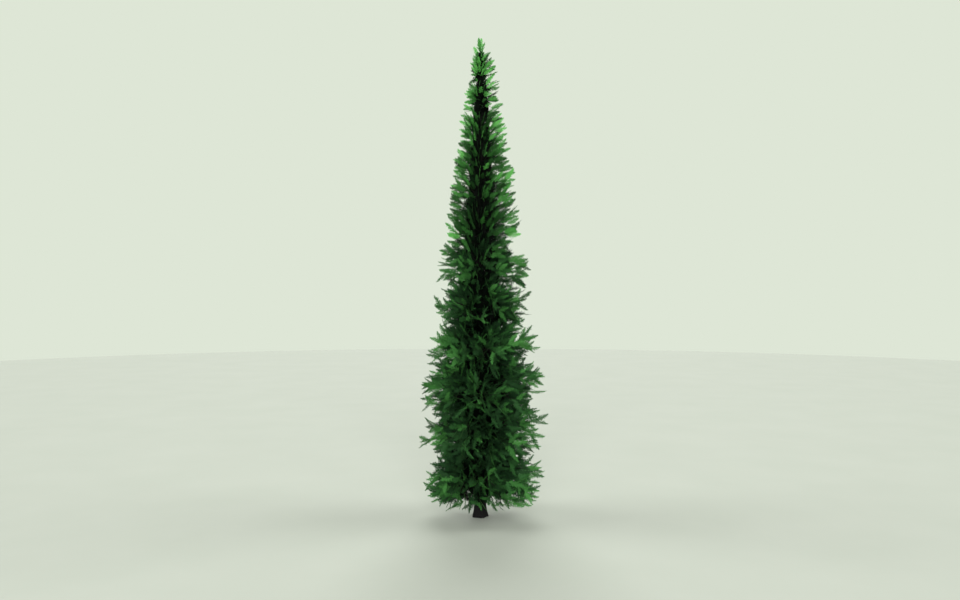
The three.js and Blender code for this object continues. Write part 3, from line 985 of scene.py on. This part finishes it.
def new_material(name, roughness, specular):
    """A material with a principled shader, and a wire to build its colours from."""
    material = bpy.data.materials.new(name)
    material.use_nodes = True
    shader = material.node_tree.nodes["Principled BSDF"]
    shader.inputs["Roughness"].default_value = roughness
    shader.inputs["Specular IOR Level"].default_value = specular
    return material, shader, Wire(material.node_tree)


def blend(wire, share, start, end):
    """A colour between two others, by the node's numbered sockets."""
    sockets = {0: share, 6: linear(*start), 7: linear(*end)}
    return wire.node("ShaderNodeMix", {"data_type": "RGBA"}, sockets, 2)


def needle_material(name, tint):
    """Waxy needles of one tint: the tints are dealt out by spray."""
    material, shader, _ = new_material(name, roughness=0.6, specular=0.06)
    shader.inputs["Base Color"].default_value = linear(*tint)
    return material


def bark_material(name, colours, plates_per_metre):
    """Scaly bark: paler plates with dark cracks, mottled, with a fine grain in relief."""
    material, shader, wire = new_material(name, roughness=0.9, specular=0.2)
    place = wire.node("ShaderNodeTexCoord", None, None, "Object")
    stretched = wire.node("ShaderNodeMapping", None, {"Vector": place, "Scale": PLATE_STRETCH})
    plate = plates(wire, stretched, plates_per_metre, CRACK_WIDTH)
    mottle = noise(wire, place, MOTTLES_PER_METRE, detail=6.0)
    plate_colour, crack_colour = colours
    colour = blend(wire, plate * (LEAST_PALE + MOTTLE_PALE * mottle), crack_colour, plate_colour)
    roughness = LEAST_ROUGH + MOTTLE_ROUGH * mottle
    grain = noise(wire, place, GRAIN_PER_METRE, detail=4.0)
    relief = {"Strength": GRAIN_STRENGTH, "Distance": GRAIN_HEIGHT, "Height": grain}
    bump = wire.node("ShaderNodeBump", None, relief)
    colour.feed(shader, "Base Color")
    roughness.feed(shader, "Roughness")
    bump.feed(shader, "Normal")
    return material


# Starting meshes

def new_mesh(name, points, edges=(), faces=()):
    mesh = bpy.data.meshes.new(name)
    mesh.from_pydata(points, edges, faces)
    return mesh


def strand_mesh(name, strands):
    """A mesh of bare edges along strands, with the strands' thickness on its points."""
    points = []
    edges = []
    for strand in strands:
        last = len(points) + len(strand.points) - 1
        edges += [(point, point + 1) for point in range(len(points), last)]
        points += strand.points
    mesh = new_mesh(name, points, edges)
    thickness = mesh.attributes.new("thickness", "FLOAT", "POINT")
    thickness.data.foreach_set("value", [radius for strand in strands for radius in strand.radii])
    return mesh


def spray_point_mesh(name, sprays):
    """A mesh of points, one for each spray, that carry its turn, its size and its kind."""
    mesh = new_mesh(name, [spray.base for spray in sprays])
    turns = []
    for spray in sprays:
        face = (spray.face - spray.along * spray.face.dot(spray.along)).normalized()
        across = spray.along.cross(face)
        turns += Matrix((across, spray.along, face)).transposed().to_euler()
    sizes = [spray.size for spray in sprays]
    kinds = [spray.kind for spray in sprays]
    mesh.attributes.new("turn", "FLOAT_VECTOR", "POINT").data.foreach_set("vector", turns)
    mesh.attributes.new("size", "FLOAT", "POINT").data.foreach_set("value", sizes)
    mesh.attributes.new("kind", "INT", "POINT").data.foreach_set("value", kinds)
    return mesh


def needle_object(name, length, width):
    """A flat pointed needle along +Z, with its foot across Y."""
    corners = [(0, -width / 2, 0), (0, width / 2, 0), (0, 0, length)]
    return bpy.data.objects.new(name, new_mesh(name, corners, faces=[(0, 1, 2)]))


def on_shoot(kind, share):
    """A point of the main shoot of a kind of spray: it bends to one side and sags."""
    bend = SHOOT_BEND * vary(kind, Channel.SHOOT_BEND) * share * share
    return Vector((bend, share, -SHOOT_SAG * share * share)) * SPRAY_LENGTH


def twiglet_strand(kind, number):
    """One side shoot of a kind of spray: the longest ones stand in the spray's lower half."""
    seed = kind * SEEDS_PER_KIND + number
    place = (number + TWIGLET_JITTER * vary(seed, Channel.TWIGLET_PLACE)) / (2 * TWIGLET_PAIRS)
    share = mix(*TWIGLET_PLACES, place)
    widening = min(1.0, (share + TWIGLET_LEAST) / TWIGLET_WIDEST)
    widest = TWIGLET_SHARE[kind >= SPRAY_KINDS] * SPRAY_LENGTH
    variation = 1 + TWIGLET_SPREAD * vary(seed, Channel.TWIGLET_LENGTH)
    length = widest * widening * (1 - share) ** TWIGLET_TAPER * variation
    way = 1 if number % 2 else -1
    angle = math.radians(TWIGLET_ANGLE + TWIGLET_ANGLE_SPREAD * vary(seed, Channel.TWIGLET_ANGLE))
    lift = TWIGLET_LIFT * vary(seed, Channel.TWIGLET_LIFT)
    root = on_shoot(kind, share)
    tip = root + Vector((way * math.sin(angle), math.cos(angle), lift)) * length
    return Strand([root, tip], [TWIGLET_RADIUS, 0.0])


def spray_strands(kind):
    """The shoots of one kind of spray in the plane of X and Y: a main shoot along +Y and side shoots."""
    shares = [step / SHOOT_STEPS for step in range(SHOOT_STEPS + 1)]
    points = [on_shoot(kind, share) for share in shares]
    radii = [mix(*SHOOT_RADII, share) for share in shares]
    twiglets = [twiglet_strand(kind, number) for number in range(2 * TWIGLET_PAIRS)]
    return [Strand(points, radii)] + twiglets


def spray_kinds(title, numbers, needle_size):
    """A collection of kinds of needle spray, to be set on the twigs."""
    length, width, spacing = needle_size
    needle = needle_object(f"needle of {title}", length, width)
    kinds = bpy.data.collections.new(title)
    scene.collection.children.link(kinds)
    for kind in numbers:
        inputs = {
            "Needle": needle,
            "Spacing": spacing,
            "Lean": math.radians(NEEDLE_LEAN),
            "Tilt": math.radians(NEEDLE_TILT[kind >= SPRAY_KINDS]),
            "Smallest": SMALLEST_NEEDLE,
            "Largest": LARGEST_NEEDLE,
            "Seed": kind,
            "Material": SHOOT_BARK,
        }
        shoots = strand_mesh("shoots", spray_strands(kind))
        spray = grow(f"{title} {kind}", shoots, NEEDLES_ON_SHOOTS, inputs)
        scene.collection.objects.unlink(spray)
        kinds.objects.link(spray)
    bpy.data.objects.remove(needle)
    return kinds


def slim_cone(points, faces, strand):
    """Adds a three-sided cone along a strand to a list of points and a list of faces."""
    start = strand.points[0]
    end = strand.points[-1]
    side, over = square_to((end - start).normalized())
    first = len(points)
    tip = first + CONE_SIDES
    for corner in range(CONE_SIDES):
        angle = 2 * math.pi * corner / CONE_SIDES
        points.append(start + (side * math.cos(angle) + over * math.sin(angle)) * strand.radii[0])
        faces.append((first + corner, first + (corner + 1) % CONE_SIDES, tip))
    points.append(end)


def shoot_kinds(title, count):
    """The same kinds of spray without their needles: slim three-sided shoots."""
    kinds = bpy.data.collections.new(title)
    scene.collection.children.link(kinds)
    for kind in range(count):
        points = []
        faces = []
        for strand in spray_strands(kind):
            slim_cone(points, faces, strand)
        mesh = new_mesh("bare shoots", points, faces=faces)
        kinds.objects.link(bpy.data.objects.new(f"{title} {kind}", mesh))
    return kinds


def ring_heights():
    """The heights of the trunk's rings: close together at the ground, further apart upwards."""
    heights = [0.0]
    while heights[-1] < TRUNK_TOP:
        step = RING_STEP + RING_STEP_GROWTH * heights[-1]
        heights.append(min(heights[-1] + step, TRUNK_TOP))
    return heights


def trunk_mesh():
    """The trunk before its bark is cut: lobed rings from the flat cut to the tip."""
    heights = ring_heights()
    points = []
    for z in heights:
        for side in range(RING_SIDES):
            azimuth = 2 * math.pi * side / RING_SIDES
            lobe = LOBE_DEPTH * math.exp(-z / FLARE_HEIGHT) * math.cos(FLARE_LOBES * azimuth)
            points.append(level_way(azimuth) * (trunk_radius(z) + lobe) + UP * z)
    last = (len(heights) - 1) * RING_SIDES
    faces = [tuple(reversed(range(RING_SIDES))), tuple(range(last, last + RING_SIDES))]
    for low in range(0, last, RING_SIDES):
        high = low + RING_SIDES
        for side in range(RING_SIDES):
            following = (side + 1) % RING_SIDES
            faces.append((low + side, low + following, high + following, high + side))
    return new_mesh("trunk rings", points, faces=faces)


# Pieces

def make_piece(name, mesh, tree, inputs, nodes):
    """Grows a piece, ties it to the root body, and hides the nodes that it stands for."""
    piece = grow(name, mesh, tree, inputs)
    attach(piece, "root")
    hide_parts(*nodes)


def make_trunk():
    """The trunk, with its bark cut in relief."""
    inputs = {
        "Plates per metre": PLATES_PER_METRE,
        "Crack width": CRACK_WIDTH,
        "Crack depth": CRACK_DEPTH,
        "Swells per metre": SWELLS_PER_METRE,
        "Swell": SWELL,
        "Material": bark_material("spruce_bark", TRUNK_COLOURS, PLATES_PER_METRE),
    }
    make_piece("trunk_with_bark", trunk_mesh(), bark_tree(), inputs, ["trunk"])


def make_limbs(name, strands, sides, step, relief, nodes):
    """One piece of round limbs along strands."""
    inputs = {
        "Sides": sides,
        "Step": step,
        "Grain per metre": LIMB_GRAIN_PER_METRE,
        "Relief": relief,
        "Material": BOUGH_BARK,
    }
    make_piece(name, strand_mesh(name, strands), LIMBS, inputs, nodes)


def make_sprays(name, chosen, kinds, material, nodes):
    """One piece of many sprays."""
    inputs = {"Kinds": kinds, "Material": material}
    make_piece(name, spray_point_mesh(name, chosen), SPRAYS_ON_TWIGS, inputs, nodes)


def make_needles(tints, kinds, nodes):
    """A piece of needle sprays for each of some tints."""
    for name, tint in tints.items():
        chosen = [spray for spray in sprays if spray.tint == name]
        make_sprays(name, chosen, kinds, needle_material(name, tint), nodes)


NEEDLES_ON_SHOOTS = needle_tree()
SPRAYS_ON_TWIGS = spray_tree()
LIMBS = limb_tree()
BOUGH_BARK = bark_material("bough_bark", BOUGH_COLOURS, BOUGH_PLATES_PER_METRE)
SHOOT_BARK = bark_material("shoot_bark", SHOOT_COLOURS, SHOOT_PLATES_PER_METRE)

cells = tier_cells()
fronds = []
sprays = leader_sprays()
for cell in cells:
    mass_fronds, mass_sprays = grow_mass(cell)
    fronds += mass_fronds
    sprays += mass_sprays + inner_sprays(cell) + shade_sprays(cell)
    if cell.tier == 0:
        sprays += foot_sprays(cell)

boughs = [f"bough_{cell.label}" for cell in cells if cell.tier < BOUGHED_TIERS]
low_masses = [f"foliage_{cell.label}" for cell in cells if not cell.is_high]
high_masses = [f"foliage_{cell.label}" for cell in cells if cell.is_high] + ["foliage_leader"]
all_masses = low_masses + high_masses

make_trunk()
limbs = [limb_strand(cell) for cell in cells] + [leader_strand()]
make_limbs("boughs_with_bark", limbs, LIMB_SIDES, LIMB_STEP, LIMB_RELIEF, boughs)
make_limbs("frond_twigs", fronds, TWIG_SIDES, TWIG_STEP, 0.0, all_masses)

# The inner sprays are of broad kinds, those in the shade of slim ones
outer = spray_kinds("outer sprays", range(2 * SPRAY_KINDS), OUTER_NEEDLE)
inner = spray_kinds("inner sprays", range(INNER_KINDS), INNER_NEEDLE)
shaded = spray_kinds("shade sprays", range(SPRAY_KINDS, SPRAY_KINDS + INNER_KINDS), SHADE_NEEDLE)
bare = shoot_kinds("bare shoots", 2 * SPRAY_KINDS)
make_needles(LOW_TINTS, outer, low_masses)
make_needles(HIGH_TINTS, outer, high_masses)
make_needles({LOW_INNER: LOW_INNER_TINT}, inner, low_masses)
make_needles({HIGH_INNER: HIGH_INNER_TINT}, inner, high_masses)
make_needles({SHADE: SHADE_TINT}, shaded, all_masses)
lit = [spray for spray in sprays if spray.tint in {**LOW_TINTS, **HIGH_TINTS}]
make_sprays("spray_shoots", lit, bare, SHOOT_BARK, all_masses)

for kinds in (outer, inner, shaded, bare):
    for kind in list(kinds.objects):
        bpy.data.objects.remove(kind)
    bpy.data.collections.remove(kinds)


# Studio: a pale floor, soft light from the front, both sides and behind, and the camera
FLOOR_RADIUS = 60
FLOOR_SIDES = 96
FLOOR_DROP = 0.002
FLOOR_TONES = ((178, 184, 172), (185, 190, 179))
FLOOR_TONES_PER_METRE = 0.4
BACKDROP_TONE = (222, 230, 214)
BACKDROP_LIGHT = 0.25
LIGHT_SOFTNESS = 40
SENSOR_WIDTH = 36
LENS_LENGTH = 31.875
CAMERA_PLACE = (0, -21.35, 5.72)
CAMERA_DIP = 0.74


def studio_floor():
    """A wide round floor, in two pale tones that are nearly the same."""
    material, shader, wire = new_material("studio_floor", roughness=0.9, specular=0.1)
    place = wire.node("ShaderNodeTexCoord", None, None, "Object")
    colour = blend(wire, noise(wire, place, FLOOR_TONES_PER_METRE, detail=3.0), *FLOOR_TONES)
    colour.feed(shader, "Base Color")
    bpy.ops.mesh.primitive_circle_add(
        vertices=FLOOR_SIDES, radius=FLOOR_RADIUS, fill_type="NGON", location=(0, 0, -FLOOR_DROP)
    )
    floor = bpy.context.object
    floor.name = "studio_floor"
    floor.data.materials.append(material)


def soft_light(name, azimuth, elevation, power):
    """A distant soft lamp that shines from an azimuth and an elevation."""
    lamp = bpy.data.lights.new(name, "SUN")
    lamp.angle = math.radians(LIGHT_SOFTNESS)
    lamp.energy = power
    holder = bpy.data.objects.new(name, lamp)
    source = climbing(level_way(math.radians(azimuth)), elevation)
    holder.rotation_euler = source.to_track_quat("Z", "Y").to_euler()
    scene.collection.objects.link(holder)


def pale_surroundings():
    """Pale surroundings that give a little even light from all round."""
    world = bpy.data.worlds.new("studio")
    world.use_nodes = True
    wire = Wire(world.node_tree)
    seen = wire.node("ShaderNodeLightPath", None, None, "Is Camera Ray")
    background = world.node_tree.nodes["Background"]
    background.inputs["Color"].default_value = linear(*BACKDROP_TONE)
    strength = BACKDROP_LIGHT + seen * (1 - BACKDROP_LIGHT)
    strength.feed(background, "Strength")
    scene.world = world
    scene.view_settings.view_transform = "Standard"


def photo_camera():
    """The camera at the photograph's viewing angle."""
    lens = bpy.data.cameras.new("photo_camera")
    lens.sensor_width = SENSOR_WIDTH
    lens.lens = LENS_LENGTH
    camera = bpy.data.objects.new("photo_camera", lens)
    camera.location = CAMERA_PLACE
    camera.rotation_euler = (math.radians(90 - CAMERA_DIP), 0, 0)
    scene.collection.objects.link(camera)
    bpy.context.scene.camera = camera


studio_floor()
pale_surroundings()
soft_light("light_from_front", azimuth=-90, elevation=18, power=2.9)
soft_light("light_from_left", azimuth=175, elevation=35, power=1.3)
soft_light("light_from_right", azimuth=5, elevation=35, power=1.3)
soft_light("light_from_behind", azimuth=90, elevation=35, power=2.4)
photo_camera()
